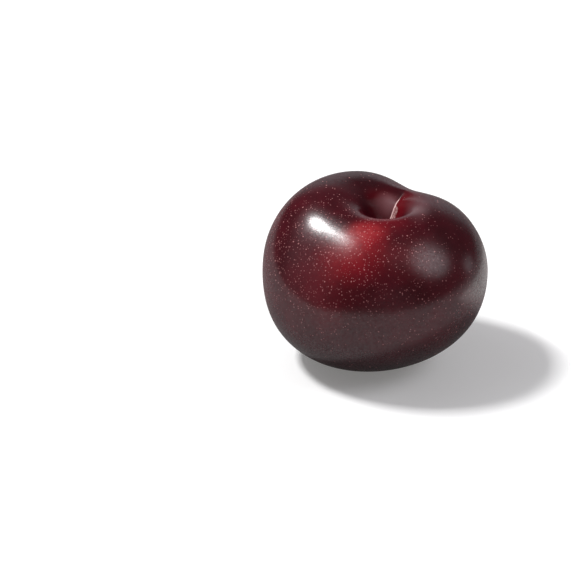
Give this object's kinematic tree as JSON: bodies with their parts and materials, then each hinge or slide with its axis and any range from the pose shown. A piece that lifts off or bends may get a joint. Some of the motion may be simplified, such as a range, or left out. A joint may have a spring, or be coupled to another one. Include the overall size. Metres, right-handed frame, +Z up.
{
  "type": "plum",
  "caption": "Whole dark-skinned dessert plum, squat and a little lopsided, with a dimpled stalk end and a shallow suture; lies on a small flat spot.",
  "frame": {"origin": "on the surface that the plum lies on, under the middle of its bounding box", "axes": "+Z up, +X to the right and +Y away as seen from the front; the stalk end faces up, leaning a few degrees to the front and right"},
  "size_m": [0.0648, 0.0648, 0.0518],
  "materials": {
    "skin": "semi-gloss waxy fruit skin, dark maroon to near black with a red blush and fine pale dots"
  },
  "bodies": {
    "root": {"plum": "skin"}
  },
  "joints": []
}
